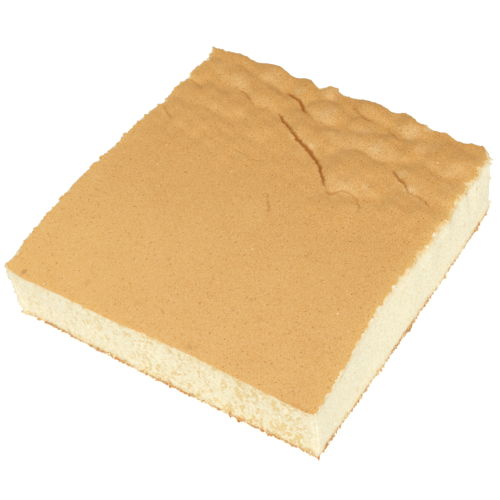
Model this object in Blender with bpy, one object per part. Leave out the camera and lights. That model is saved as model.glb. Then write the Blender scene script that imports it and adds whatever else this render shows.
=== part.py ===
"""Trifle sponge: one square slab of baked sponge cake, lying on its base.

The slab is a single solid.  Its front and right sides are knife cuts, its top
is the baked skin, smooth over the front and crumpled into soft folds along
the back, and its underside is the flat face that lay on the baking sheet.
"""
import bmesh
import bpy
import numpy as np

MM = 0.001

# Driving dimensions, in millimetres.
THICKNESS = 42.2        # smooth part of the top above the table
COLUMNS = 68            # mesh cells across the slab
SMOOTH_ROWS = 10        # mesh cells from the front edge to the first fold
FOLDED_ROWS = 52        # mesh cells over the folded part
FOLDS_START = 8.0       # where the close rows begin, measured from the middle
SIDE_RINGS = (0.93, 0.55, 0.12)   # heights of the bends in the sides, as shares
EDGE_ROUNDING = 0.5     # how far the top edge turns down at the cut
CUT_WAVE = 0.35         # slow wander of the knife in the sides
SNAP = 1.1              # reach within which mesh points slide onto a crease
FOOT_CHIP = 2.3         # how far the foot of the front left corner has crumbled
JOINING = 2.0           # how sharply two pillows of the skin meet

# The edge of the baked skin, each side as (along, across) points.
FRONT_EDGE = [(-92, -94.2), (-84, -94.4), (-77, -95.2), (-65, -94.7), (-50, -94.2), (-20, -94),
              (-8, -93.3), (-2, -92.6), (10, -92.1), (22, -91.7), (40, -91.8), (92, -92)]
LEFT_EDGE = [(-95, -87.2), (-91, -88), (-88, -86.4), (-84, -87.3), (-75, -89.4), (-64, -90.6),
             (-30, -92), (-20, -91.7), (0, -91), (12, -89.2), (20, -90.1), (34, -89.3),
             (39, -86.2), (46, -87.6), (61, -88), (63.5, -84.8), (67, -87), (75, -86.4),
             (82, -85.2), (88, -86.6), (94, -88.4)]
BACK_EDGE = [(-90, 93.6), (-80, 92.6), (-71, 95.4), (-57, 93.3), (-47, 96), (-33, 91.3),
             (-29.5, 93), (-25, 94.5), (-17, 90.3), (-12.8, 90.6), (-11.5, 94.4),
             (-6, 95.4), (-3.5, 92.5), (7, 93.2), (17, 94.3), (28, 92), (31, 91.5),
             (34, 94.2), (38, 94.6), (43, 92.4), (46, 89.6), (50, 90), (56, 89.4),
             (62, 91), (68, 89.4), (73, 88.3), (79, 90.6), (84, 92), (88, 87.4), (92, 86.5)]
RIGHT_EDGE = [(-95, 92.5), (-84, 91.9), (-72, 91.2), (-55, 90), (-48, 89), (-30, 87.9),
              (-5, 87.7), (6, 88.9), (14, 88.4), (24, 90.2), (28, 89.3), (35, 89.2),
              (41, 91.5), (46, 89.5), (49, 90.4), (52.5, 88.8), (55, 90), (57, 88.7),
              (61, 90.8), (66.5, 88.2), (70, 90), (75, 90.6), (82, 89.4), (92, 90)]
# Corners of the skin that broke off a little: which corner, and the shift inwards.
SKIN_CORNERS = [(-1, -1, 0.6, 2.2), (1, -1, -0.2, 0.9), (1, 1, -0.8, -0.8), (-1, 1, 0.5, -0.5)]

# The edge of the base, as (along, across) points of each side.
FRONT_BASE = [(-92, -92.6), (-87, -92.3), (-83, -91.2), (-30, -91.4), (10, -90.7), (92, -88.8)]
LEFT_BASE = [(-92, -91), (92, -88.6)]
BACK_BASE = [(-92, 91.4), (92, 89.8)]
RIGHT_BASE = [(-92, 89.9), (-60, 90.1), (-30, 90.8), (0, 91.2), (80, 91.2), (92, 90.3)]
SKIN_SIDES = (FRONT_EDGE, RIGHT_EDGE, BACK_EDGE, LEFT_EDGE)
BASE_SIDES = (FRONT_BASE, RIGHT_BASE, BACK_BASE, LEFT_BASE)

# Pillows of the puffed skin: middle x, middle y, half length, half width,
# turn in degrees, rise, and how flat the middle is.
PILLOWS = [
    (-62, 38, 27, 11, -8, 1.9, 1), (-40, 31, 16, 8, -22, 0.9, 1),
    (-60, 56, 30, 9, 0, 2.2, 1), (-27, 50, 16, 9.5, -25, 2.0, 1),
    (-86, 72, 12, 10, 10, 1.8, 1), (-62, 78.5, 26, 8, -14, 2.5, 1), (-36, 71, 17, 9, -14, 2.8, 1),
    (-44, 89, 15, 9, -4, 2.8, 1), (-76, 91, 16, 6.5, -8, 1.6, 1),
    (-21, 86, 11, 8, -35, 2.5, 1), (-8.5, 91, 5, 7, 0, 2.0, 1),
    (-1, 76.5, 12, 7.5, -6, 2.4, 1), (-6, 59, 19, 8.5, -28, 2.8, 1), (10, 57, 11, 9, -50, 2.5, 1),
    (22, 75, 10, 6.5, 4, 1.9, 1), (33, 66, 20, 9.5, 7, 2.8, 1),
    (33, 42, 20, 15.5, 4, 3.6, 1.5), (21, 88.5, 13, 8, -7, 2.8, 1),
    (45, 88, 11, 10, -12, 2.8, 1), (52, 70, 9, 8, 25, 2.2, 1),
    (67, 53, 17, 9.5, -24, 2.8, 1), (84, 52, 12, 10, -10, 1.7, 1), (75, 73, 19, 12, -3, 2.8, 1),
    (73, 30, 19, 12, -8, 1.7, 1), (38, 16, 13, 10, 5, 1.3, 1), (-66, 19, 22, 10, -10, 0.8, 1),
]

# Creases between the pillows: depth, half width and the line they follow.
CREASES = [
    (2.0, 2.2, [(-24, 63), (-20, 60), (-16, 57.5), (-6, 51), (0, 48), (6, 45.5), (12, 42),
                (16, 38.5), (20, 34), (24, 29.5), (30, 24)]),
    (2.0, 1.7, [(-30, 80.5), (-21, 77.5), (-17, 75), (-9, 68.5)]),
    (1.0, 1.6, [(-56, 69.5), (-50, 68.5), (-45, 65.5), (-39, 62)]),
    (0.8, 1.8, [(-86, 39), (-78, 34), (-70, 31)]),
    (0.8, 1.6, [(30, 24), (35, 28.5), (44, 28), (48, 24.5), (52, 16.5)]),
    (1.2, 1.7, [(8, 86), (16, 82), (27, 79.5)]),
    (0.9, 1.6, [(31, 81), (38, 77), (43, 75), (47, 79)]),
    (1.6, 1.7, [(50, 55), (55, 50.5), (60, 48), (67, 43), (75, 42), (85, 38.5)]),
]


def clear_scene():
    """Remove every object that the start-up file holds."""
    for item in list(bpy.data.objects):
        bpy.data.objects.remove(item, do_unlink=True)


def edge_line(points, at, blur=1.6):
    """The offset of one edge at each distance along it, with soft bends."""
    along, across = zip(*points)
    steps = np.linspace(-blur, blur, 7)
    return np.mean([np.interp(at + step, along, across) for step in steps], axis=0)


def outline_map(x, y, sides, blur):
    """Carry points of the plain square to the slab's own outline.

    x and y run from -1 to 1.  Each side adds its own offset, which fades
    linearly towards the opposite side.
    """
    front, right, back, left = sides
    flat_x, flat_y = x * 90.0, y * 92.0
    new_x = ((1 - x) / 2 * edge_line(left, flat_y, blur)
             + (1 + x) / 2 * edge_line(right, flat_y, blur))
    new_y = ((1 - y) / 2 * edge_line(front, flat_x, blur)
             + (1 + y) / 2 * edge_line(back, flat_x, blur))
    return new_x, new_y


def skin_outline(x, y):
    """The outline of the skin, with its corners broken off a little."""
    new_x, new_y = outline_map(x, y, SKIN_SIDES, 1.6)
    for side_x, side_y, shift_x, shift_y in SKIN_CORNERS:
        corner = np.exp(-(np.hypot((x - side_x) * 90, (y - side_y) * 92) / 3.2) ** 2)
        new_x, new_y = new_x + shift_x * corner, new_y + shift_y * corner
    return new_x, new_y


def waves(x, y, size, seed, count=6):
    """Sum of sine waves about `size` long, in seeded directions."""
    rng = np.random.default_rng(seed)
    total = 0.0
    for _ in range(count):
        turn, phase = rng.uniform(0, np.pi), rng.uniform(0, 2 * np.pi)
        length = size * rng.uniform(0.7, 1.5)
        along = x * np.cos(turn) + y * np.sin(turn)
        total = total + np.sin(2 * np.pi * along / length + phase)
    return total / np.sqrt(count)


def pillow_height(x, y):
    """Smooth maximum of the turned domes and the level skin.

    Where two domes meet, this leaves the narrow valley of a real fold.
    """
    total = 1.0
    for mid_x, mid_y, half_length, half_width, turn, rise, flatness in PILLOWS:
        c, s = np.cos(np.radians(turn)), np.sin(np.radians(turn))
        along = ((x - mid_x) * c + (y - mid_y) * s) / half_length
        across = ((y - mid_y) * c - (x - mid_x) * s) / half_width
        dome = rise * (1 - (along ** 2 + across ** 2) ** flatness)
        total = total + np.exp(np.clip(JOINING * dome, -60, 60))
    return np.log(total) / JOINING


def distance_to(x, y, line):
    """Shortest distance from each point to a line of straight stretches."""
    nearest = np.full_like(x, 1e9)
    for (ax, ay), (bx, by) in zip(line, line[1:]):
        dx, dy = bx - ax, by - ay
        share = np.clip(((x - ax) * dx + (y - ay) * dy) / (dx * dx + dy * dy), 0, 1)
        nearest = np.minimum(nearest, np.hypot(x - ax - share * dx, y - ay - share * dy))
    return nearest


def top_height(x, y):
    """Height of the baked skin: level, plus the pillows, less the creases."""
    bend_x = x + 1.3 * waves(x, y, 22, 11)
    bend_y = y + 0.9 * waves(x, y, 18, 12)
    folded = np.clip((y - 8) / 22, 0, 1)
    sagged = np.clip((y - 10) / 80, 0, 1)
    height = THICKNESS + 0.25 * np.sin(x / 31 + 0.6) * np.cos(y / 37)
    height = height - 0.5 * sagged ** 2 * (3 - 2 * sagged) + pillow_height(bend_x, bend_y)
    height = height + (0.05 + 0.17 * folded ** 2 * (3 - 2 * folded)) * waves(x, y, 9, 13)
    for depth, half_width, line in CREASES:
        height = height - depth * np.exp(-(distance_to(x, y, line) / half_width) ** 2)
    return height


def side_point(x, y, share):
    """A point of the cut side, share 1 at the skin and 0 at the base."""
    skin_x, skin_y = skin_outline(x, y)
    base_x, base_y = outline_map(x, y, BASE_SIDES, 0.1)
    # The ragged skin edge dies away in the first third of the depth.
    ragged = share ** 1.6
    out = CUT_WAVE * np.sin(3.1 * share + skin_x / 23 + skin_y / 19) * (1 - share)
    side_x = base_x + (skin_x - base_x) * ragged + out * np.where(abs(x) > 0.999, x, 0)
    side_y = base_y + (skin_y - base_y) * ragged + out * np.where(abs(y) > 0.999, y, 0)
    at_foot = np.exp(-(np.hypot((x + 1) * 90, (y + 1) * 92) / 3) ** 2)
    chip = FOOT_CHIP * at_foot * np.clip(1 - share / 0.22, 0, 1)
    return side_x + chip, side_y


def grid_top(bm):
    """The skin as a grid: wide rows in front, close rows over the folds."""
    rows = SMOOTH_ROWS + FOLDED_ROWS
    bmesh.ops.create_grid(bm, x_segments=COLUMNS, y_segments=rows, size=1.0)
    split = FOLDS_START / 92.0
    for vert in bm.verts:
        row = (vert.co.y + 1) / 2 * rows
        if row <= SMOOTH_ROWS:
            vert.co.y = -1 + (split + 1) * row / SMOOTH_ROWS
        else:
            vert.co.y = split + (1 - split) * (row - SMOOTH_ROWS) / FOLDED_ROWS


def drop_sides(bm, square):
    """Pull the rim of the top down to the table in rings, then close the base."""
    rim = [edge for edge in bm.edges if edge.is_boundary]
    heights = {}
    for share in SIDE_RINGS + (0.0,):
        made = bmesh.ops.extrude_edge_only(bm, edges=rim)["geom"]
        fresh = [item for item in made if isinstance(item, bmesh.types.BMVert)]
        old = {vert for edge in rim for vert in edge.verts}
        for vert in fresh:
            above = next(other.other_vert(vert) for other in vert.link_edges
                         if other.other_vert(vert) in old)
            square[vert] = square[above]
            heights[vert] = heights.get(above, above.co.z / MM)
            x, y = side_point(*(np.array(v) for v in square[vert]), share)
            vert.co = (x * MM, y * MM, heights[vert] * share * MM)
        rim = [edge for edge in made if isinstance(edge, bmesh.types.BMEdge)
               and edge.is_boundary]
    bmesh.ops.edgeloop_fill(bm, edges=rim)


def round_rim(bm):
    """Let the skin turn down a little where the knife left it."""
    for vert in bm.verts:
        if vert.is_boundary:
            vert.co.z -= EDGE_ROUNDING * MM


def nearest_on(x, y, line):
    """The point of a line of straight stretches that lies nearest to x, y."""
    found = []
    for (ax, ay), (bx, by) in zip(line, line[1:]):
        dx, dy = bx - ax, by - ay
        share = min(max(((x - ax) * dx + (y - ay) * dy) / (dx * dx + dy * dy), 0), 1)
        place = (ax + share * dx, ay + share * dy)
        found.append((np.hypot(place[0] - x, place[1] - y), place))
    return min(found)


def snap_to_creases(x, y, inside):
    """Slide the points nearest to each crease onto it, so that it runs clean."""
    for _, _, line in CREASES:
        close = np.nonzero((distance_to(x, y, line) < SNAP) & inside)[0]
        found = sorted((*nearest_on(x[i], y[i], line), i) for i in close)
        taken = []
        for _, place, i in found:
            if all(np.hypot(place[0] - a, place[1] - b) > SNAP for a, b in taken):
                taken.append(place)
                x[i], y[i] = place


def lay_relief(bm):
    """Give every point of the grid its place in the outline and its height."""
    square = {vert: (vert.co.x, vert.co.y) for vert in bm.verts}
    x, y = (np.array(column) for column in zip(*square.values()))
    inside = (abs(x) < 0.999) & (abs(y) < 0.999)
    skin_x, skin_y = skin_outline(x, y)
    snap_to_creases(skin_x, skin_y, inside)
    places = zip(skin_x, skin_y, top_height(skin_x, skin_y))
    for vert, place in zip(square, places):
        vert.co = [value * MM for value in place]
    # Each cell is split along its more level diagonal, so the folds stay smooth.
    bmesh.ops.triangulate(bm, faces=bm.faces, quad_method="SHORT_EDGE")
    return square


def centre_on_origin(bm):
    """Put the middle of the slab's footprint at the origin, base at zero."""
    low = np.min([vert.co[:] for vert in bm.verts], axis=0)
    high = np.max([vert.co[:] for vert in bm.verts], axis=0)
    shift = (-(low[0] + high[0]) / 2, -(low[1] + high[1]) / 2, -low[2])
    bmesh.ops.translate(bm, verts=bm.verts, vec=shift)


def sponge_material():
    """Pale golden cake: a matt, slightly soft surface."""
    material = bpy.data.materials.new("sponge")
    material.use_nodes = True
    shader = material.node_tree.nodes["Principled BSDF"]
    shader.inputs["Base Color"].default_value = (0.72, 0.44, 0.17, 1.0)
    shader.inputs["Roughness"].default_value = 0.8
    return material


def build_sponge():
    """The whole slab as one closed body."""
    bm = bmesh.new()
    grid_top(bm)
    square = lay_relief(bm)
    round_rim(bm)
    drop_sides(bm, square)
    centre_on_origin(bm)
    bmesh.ops.recalc_face_normals(bm, faces=bm.faces)
    mesh = bpy.data.meshes.new("sponge")
    bm.to_mesh(mesh)
    bm.free()
    mesh.materials.append(sponge_material())
    sponge = bpy.data.objects.new("sponge", mesh)
    bpy.context.scene.collection.objects.link(sponge)
    return sponge


clear_scene()
build_sponge()
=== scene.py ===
# %% [markdown]
# # A slab of trifle sponge
#
# The object is one square slab of baked sponge cake, about 18 cm across and
# 4 cm thick. Three surfaces make up its look: the browned skin on top, smooth
# in front and puffed into folds at the back, the pale crumb that the knife
# laid open at the sides, and the thin browned skin under it. This lesson
# models each of them as a surface computed with numpy, because the folds, the
# pores and the ragged edges all follow rules that a formula can state, and
# then gives each a procedural material.
#
# It starts from a plain solid of the slab, loaded as a fixed frame. The box of
# that solid is kept, because each surface made here stays in it.

import bpy
import numpy as np
from mathutils import Matrix, Vector


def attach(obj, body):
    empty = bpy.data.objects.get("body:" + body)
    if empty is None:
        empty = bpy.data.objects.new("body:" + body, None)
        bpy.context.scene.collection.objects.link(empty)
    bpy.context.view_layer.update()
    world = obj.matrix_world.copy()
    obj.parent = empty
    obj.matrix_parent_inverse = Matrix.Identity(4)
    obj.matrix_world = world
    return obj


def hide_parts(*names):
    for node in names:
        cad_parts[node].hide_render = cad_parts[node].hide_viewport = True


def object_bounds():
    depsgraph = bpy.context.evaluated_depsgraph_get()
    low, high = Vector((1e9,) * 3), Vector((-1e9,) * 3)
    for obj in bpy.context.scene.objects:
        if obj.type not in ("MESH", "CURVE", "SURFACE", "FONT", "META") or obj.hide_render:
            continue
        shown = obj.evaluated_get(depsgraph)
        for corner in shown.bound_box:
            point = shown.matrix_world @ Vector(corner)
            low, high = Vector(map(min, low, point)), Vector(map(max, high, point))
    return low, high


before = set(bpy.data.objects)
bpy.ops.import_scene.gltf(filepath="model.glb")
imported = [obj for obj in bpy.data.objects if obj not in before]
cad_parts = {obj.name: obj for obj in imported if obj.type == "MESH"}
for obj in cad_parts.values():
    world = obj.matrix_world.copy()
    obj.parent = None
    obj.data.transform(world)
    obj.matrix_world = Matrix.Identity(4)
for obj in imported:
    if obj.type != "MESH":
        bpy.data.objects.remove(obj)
CAD_BOX = [[float(value) for value in corner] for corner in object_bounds()]
print("frame box in mm:", [[round(v * 1000, 1) for v in corner] for corner in CAD_BOX])

# %% [markdown]
# ## Calm and grainy randomness
#
# No two cakes are alike, but a lesson has to give the same cake each time, so
# every random draw here is seeded. Two kinds of unevenness are needed. Slow
# wandering, as in a knife cut or a puffed skin, is a sum of a few sine waves.
# Grain, as in crumb, is a lattice of random numbers blended smoothly between
# its points. Both work on whole arrays at once.

# %% Helpers for unevenness
MM = 0.001
LATTICE = 256                    # points each way before a lattice repeats


def waves(x, y, size, seed, count=6):
    """Sum of `count` sine waves about `size` long, in seeded directions."""
    rng = np.random.default_rng(seed)
    total = 0.0
    for _ in range(count):
        turn, phase = rng.uniform(0, np.pi), rng.uniform(0, 2 * np.pi)
        length = size * rng.uniform(0.7, 1.5)
        along = x * np.cos(turn) + y * np.sin(turn)
        total = total + np.sin(2 * np.pi * along / length + phase)
    return total / np.sqrt(count)


def smooth(value):
    """0 below 0, 1 above 1, and an S-shaped ramp between."""
    value = np.clip(value, 0, 1)
    return value * value * (3 - 2 * value)


def grain(x, y, size, seed):
    """Random numbers from -1 to 1 on a lattice `size` apart, blended smoothly."""
    draws = np.random.default_rng(seed).uniform(-1, 1, (LATTICE, LATTICE))
    column, row = np.floor(x / size).astype(int), np.floor(y / size).astype(int)
    across, up = smooth(x / size - column), smooth(y / size - row)

    def at(i, j):
        return draws[(column + i) % LATTICE, (row + j) % LATTICE]

    near = at(0, 0) * (1 - across) + at(1, 0) * across
    far = at(0, 1) * (1 - across) + at(1, 1) * across
    return near * (1 - up) + far * up


def grain_along(at, size, seed, lane=0):
    """Grain that changes along one line only. Each lane has its own numbers."""
    return grain(at, at * 0 + lane, size, seed)


def nibs(value):
    """The peaks of grain alone: what is above 0.45, made 2.2 times as high."""
    return np.clip(value - 0.45, 0, 1) * 2.2


def hollows(x, y, spacing, radius, share, seed, tall=1.0):
    """Scattered round hollows, 0 on the level and up to 1 in their middle.

    Each cell of a lattice holds one hollow at a random place, with a radius
    between the two given, if a draw falls below `share`. A hollow is the
    square of one minus its squared distance, and the deepest one counts.
    """
    rng = np.random.default_rng(seed)
    place_x, place_y, size, draw = rng.uniform(0, 1, (4, LATTICE, LATTICE))
    column, row = np.floor(x / spacing).astype(int), np.floor(y / spacing).astype(int)
    deepest = np.zeros(np.broadcast(x, y).shape)
    for i in (-1, 0, 1):
        for j in (-1, 0, 1):
            cell = ((column + i) % LATTICE, (row + j) % LATTICE)
            reach = radius[0] + (radius[1] - radius[0]) * size[cell] ** 2
            away_x = x - (column + i + place_x[cell]) * spacing
            away_y = y - (row + j + place_y[cell]) * spacing
            away = (away_x ** 2 + (away_y / tall) ** 2) / reach ** 2
            bowl = np.clip(1 - away, 0, 1) ** 2 * (reach / radius[1])
            deepest = np.maximum(deepest, np.where(draw[cell] < share, bowl, 0))
    return deepest


sample = grain(*np.meshgrid(np.arange(90), np.arange(90)), 2.0, 1)
print("grain runs from", round(float(sample.min()), 2), "to", round(float(sample.max()), 2))

# %% [markdown]
# ## The outline of the slab
#
# The front was cut straight. The back edge is scalloped, because there the
# folds of the skin run out over the edge, and the left and right edges tore a
# little as the knife went through. Each side is a short line of points along
# and across, in millimetres from the middle of the slab, with softened bends.
# A square from -1 to 1 is then carried onto that outline, so one grid serves
# for the top, and its rim serves for the sides.

# %% Outline
HALF_X, HALF_Y = 90.0, 92.0      # half the square's sides, before they are shaped
MIDDLE = (0.11, 0.29)            # middle of the slab's whole footprint
SIDE_BLUR, BASE_BLUR = 3.0, 0.1  # how soft the bends are in the crumb and at the base
FRONT_EDGE = [(-92, -94.2), (-84, -94.4), (-77, -95.2), (-65, -94.7), (-50, -94.2), (-20, -94),
              (-8, -93.3), (-2, -92.6), (10, -92.1), (22, -91.7), (40, -91.8), (92, -92)]
LEFT_EDGE = [(-95, -87.2), (-91, -88), (-88, -87.2), (-84, -87.3), (-75, -89.4), (-64, -90.4),
             (-55, -91), (-42, -91.6), (-32, -92.7), (-22, -92.8), (-18, -91.8), (-8, -91.1),
             (0, -91.3), (11, -88.9), (14, -90), (20, -90.8), (34, -89.3), (37, -89), (40, -86.6),
             (46, -87.6), (54, -88.6), (61, -88.2), (63.5, -84.8), (67, -87), (75, -86.4),
             (82, -85.8), (88, -87.5), (94, -89)]
BACK_EDGE = [(-90, 93.6), (-80, 92.6), (-71, 95.4), (-57, 93.5), (-52, 95.5), (-47, 96.2),
             (-33, 91.3), (-29.5, 93.7), (-25, 95.1), (-17, 90.3), (-12.8, 90.6), (-11.5, 94.2),
             (-6, 94.8), (-3.5, 92.1), (1.5, 92.3), (7, 93.2), (10, 94.4), (17, 94.4), (28, 92),
             (31, 92.2), (34, 94.2), (38, 94.3), (43, 91.3), (46, 89.6), (50, 90.4), (56, 90.2),
             (62, 91), (68, 89.4), (73, 88.3), (79, 90.6), (84, 91.4), (88, 87), (92, 86)]
RIGHT_EDGE = [(-95, 92.5), (-84, 91.9), (-72, 91.2), (-55, 90), (-48, 89), (-30, 87.9),
              (-5, 87.7), (6, 88.9), (14, 88.4), (24, 90.2), (28, 89.3), (35, 89.2), (41, 91.5),
              (46, 89.5), (49, 90.4), (52.5, 88.8), (55, 90), (57, 88.7), (61, 90.8),
              (66.5, 88.2), (70, 90), (75, 90.6), (82, 89.4), (92, 90)]
FRONT_BASE = [(-92, -92.6), (-87, -92.3), (-83, -91.2), (-30, -91.4), (10, -90.7), (92, -88.8)]
LEFT_BASE = [(-92, -91), (92, -88.6)]
BACK_BASE = [(-92, 91.4), (92, 89.8)]
RIGHT_BASE = [(-92, 89.9), (-60, 90.1), (-30, 90.8), (0, 91.2), (80, 91.2), (92, 90.3)]
SKIN_SIDES = (FRONT_EDGE, RIGHT_EDGE, BACK_EDGE, LEFT_EDGE)
BASE_SIDES = (FRONT_BASE, RIGHT_BASE, BACK_BASE, LEFT_BASE)


def edge_line(points, at, blur):
    """The offset of one edge at each distance along it: the mean of seven
    readings up to `blur` before and after, which softens the bends."""
    along, across = zip(*points)
    steps = np.linspace(-blur, blur, 7)
    return np.mean([np.interp(at + step, along, across) for step in steps], axis=0)


def outline_map(x, y, sides, blur=0.9):
    """Carry the square from -1 to 1 onto an outline, in millimetres.

    Each side adds its own offset, which fades linearly to the opposite side.
    """
    front, right, back, left = sides
    flat_x, flat_y = x * HALF_X, y * HALF_Y
    new_x = ((1 - x) / 2 * edge_line(left, flat_y, blur)
             + (1 + x) / 2 * edge_line(right, flat_y, blur))
    new_y = ((1 - y) / 2 * edge_line(front, flat_x, blur)
             + (1 + y) / 2 * edge_line(back, flat_x, blur))
    return new_x, new_y


def near_corner(x, y, corner, reach):
    """1 at one corner of the square, falling like a bell within `reach` mm."""
    away = np.hypot((x - corner[0]) * HALF_X, (y - corner[1]) * HALF_Y)
    return np.exp(-(away / reach) ** 2)


def side_distances(x, y):
    """Distance in millimetres from each side of the square."""
    return {"right": (1 - x) * HALF_X, "left": (1 + x) * HALF_X,
            "front": (1 + y) * HALF_Y, "back": (1 - y) * HALF_Y}


tips = [outline_map(x, y, SKIN_SIDES) for x, y in ((1, -1), (-1, 1))]
print("skin corners in mm:", [[round(float(v), 1) for v in tip] for tip in tips])

# %% [markdown]
# ## The puffed skin
#
# A baked skin that has been pushed together lifts into pillows. Each pillow
# here is a turned dome, a height that falls with the square of the distance
# from its middle, and the skin is the highest of them all at each point. Where
# two domes meet, that leaves the sharp valley of a real fold. A few valleys
# are pressed in deeper and narrower: these are the creases. Sculpting would
# give folds as good, but no numbers that a solid model could share.

# %% Pillows
# Middle x, middle y, half length, half width, turn in degrees, rise, flatness.
PILLOWS = [
    (-62, 38, 27, 11, -8, 1.9, 1), (-40, 31, 16, 8, -22, 0.9, 1),
    (-60, 56, 30, 9, 0, 2.2, 1), (-27, 50, 16, 9.5, -25, 2.0, 1),
    (-86, 72, 12, 10, 10, 1.8, 1), (-62, 78.5, 26, 8, -14, 2.5, 1), (-36, 71, 17, 9, -14, 2.8, 1),
    (-44, 89, 15, 9, -4, 2.8, 1), (-76, 91, 16, 6.5, -8, 1.6, 1),
    (-21, 86, 11, 8, -35, 2.5, 1), (-8.5, 91, 5, 7, 0, 2.0, 1),
    (-1, 76.5, 12, 7.5, -6, 2.4, 1), (-6, 59, 19, 8.5, -28, 2.8, 1), (10, 57, 11, 9, -50, 2.5, 1),
    (22, 75, 10, 6.5, 4, 1.9, 1), (33, 66, 20, 9.5, 7, 2.8, 1),
    (33, 42, 20, 15.5, 4, 3.2, 1.5), (21, 88.5, 13, 8, -7, 2.8, 1),
    (45, 88, 11, 10, -12, 2.8, 1), (52, 70, 9, 8, 25, 2.2, 1),
    (67, 53, 17, 9.5, -24, 2.2, 1), (84, 52, 12, 10, -10, 1.7, 1), (75, 73, 19, 12, -3, 2.8, 1),
    (73, 30, 19, 12, -8, 1.7, 1), (38, 16, 13, 10, 5, 1.3, 1), (-66, 19, 22, 10, -10, 0.8, 1),
]
JOINING = 2.0                    # how sharply two pillows meet
SETTLED = 0.9                    # share of their rise that the pillows keep as they cool


def pillow_height(x, y):
    """Smooth maximum of the turned domes and the level skin: the logarithm of
    the sum of their exponentials, times the share that has settled."""
    total = 1.0
    for mid_x, mid_y, half_length, half_width, turn, rise, flatness in PILLOWS:
        c, s = np.cos(np.radians(turn)), np.sin(np.radians(turn))
        along = ((x - mid_x) * c + (y - mid_y) * s) / half_length
        across = ((y - mid_y) * c - (x - mid_x) * s) / half_width
        dome = rise * (1 - (along ** 2 + across ** 2) ** flatness)
        total = total + np.exp(np.clip(JOINING * dome, -60, 60))
    return SETTLED * np.log(total) / JOINING


peak = pillow_height(np.array([33.0]), np.array([42.0]))[0]
print("pillows:", len(PILLOWS), "and the tallest rises by", round(float(peak), 1), "mm")

# %% Creases
# Depth, half width and the line that the crease follows.
CREASES = [
    (1.65, 0.81, [(-25.5, 64.5), (-24, 63), (-20, 60), (-16, 57.8), (-11, 54.4), (-6, 51.4),
                  (0, 48.4), (6, 45.9), (12, 42.3), (16, 38.7), (20, 34), (24, 29.5), (27, 26.5),
                  (30, 24)]),
    (1.4, 0.68, [(-30, 80.5), (-27, 79), (-21, 77.5), (-17, 75), (-13, 71.5), (-9, 68.5)]),
    (0.65, 0.6, [(-56, 69.5), (-50, 68.5), (-45, 65.5), (-42, 63), (-39, 62)]),
    (0.6, 0.65, [(-86, 39), (-84, 38), (-78, 34), (-70, 31)]),
    (0.4, 0.9, [(-88, 64), (-78, 62.5), (-72, 60.5)]),
    (0.3, 0.5, [(-38, 48.5), (-34, 46.5), (-29, 45)]),
    (0.4, 0.45, [(-32, 29), (-27, 28.5), (-22, 27.5), (-19, 25.5)]),
    (0.3, 0.4, [(-20, 24.5), (-18, 27), (-13, 28.5)]),
    (0.62, 0.42, [(1, 12), (4, 8), (6.5, 5), (8.5, 3), (10, 0), (11.5, -3.5)]),
    (0.6, 0.5, [(25.5, 28), (28.5, 25), (31, 24), (35, 28.5), (40, 29), (44, 28), (48, 24.5),
                (50, 19), (52, 16.5)]),
    (0.6, 1.1, [(8, 86), (12, 84), (16, 82), (22, 80.5), (27, 79.5)]),
    (0.6, 0.7, [(31, 81), (35, 79), (38, 77), (43, 75), (47, 79)]),
    (1.15, 0.48, [(50, 55), (52, 53), (55, 50.5), (60, 48), (64, 45), (67, 43)]),
    (0.65, 0.42, [(63, 45.5), (65, 44), (67, 43), (70, 43), (75, 42), (80, 39.5), (85, 38.5)]),
]


def distance_to(x, y, line):
    """Shortest distance to a line of straight stretches, and the share of the
    way along it at that point."""
    nearest, share_there = np.full_like(x, 1e9), np.zeros_like(x)
    for count, ((ax, ay), (bx, by)) in enumerate(zip(line, line[1:])):
        dx, dy = bx - ax, by - ay
        share = np.clip(((x - ax) * dx + (y - ay) * dy) / (dx * dx + dy * dy), 0, 1)
        away = np.hypot(x - ax - share * dx, y - ay - share * dy)
        share_there = np.where(away < nearest, (count + share) / (len(line) - 1), share_there)
        nearest = np.minimum(nearest, away)
    return nearest, share_there


def crease_depth(x, y):
    """Depth of the creases: a bell-shaped groove along each line, shallower
    and narrower towards both ends, that wanders and widens unevenly."""
    total = np.zeros_like(x)
    wander = 0.30 * grain(x, y, 2.4, 15) + 0.20 * grain(x, y, 0.9, 16)
    breadth = 0.95 + 0.4 * grain(x, y, 4.5, 17)
    for depth, half_width, line in CREASES:
        away, share = distance_to(x + wander, y + wander, line)
        ends = smooth(share / 0.2 + 0.1) * smooth((1 - share) / 0.30 + 0.05)
        groove = np.exp(-(away / (half_width * breadth * (0.5 + 0.5 * ends))) ** 2)
        total = np.maximum(total, depth * ends * groove)
    return total


print("creases:", len(CREASES), "and the deepest is", CREASES[0][0], "mm deep")

# %% Height of the skin
THICKNESS = 42.2                 # from the board to the level part of the skin


def swollen_height(x, y):
    """Height of the skin before creasing: level, pillows and small waves."""
    bend_x = x + 1.3 * waves(x, y, 22, 11)
    bend_y = y + 0.9 * waves(x, y, 18, 12)
    folded = smooth((y - 8) / 22)
    height = THICKNESS + 0.25 * np.sin(x / 31 + 0.6) * np.cos(y / 37)
    height = height - 0.5 * smooth((y - 10) / 80) + pillow_height(bend_x, bend_y)
    return height + (0.05 + 0.17 * folded) * waves(x, y, 9, 13)


def skin_height(x, y):
    """Height of the skin with its creases pressed in."""
    return swollen_height(x, y) - crease_depth(x, y)


level, fold = skin_height(np.array([0.0, 33.0]), np.array([-40.0, 42.0]))
print("height of the skin in mm:", round(level, 1), "where level,", round(fold, 1), "on a fold")
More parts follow.
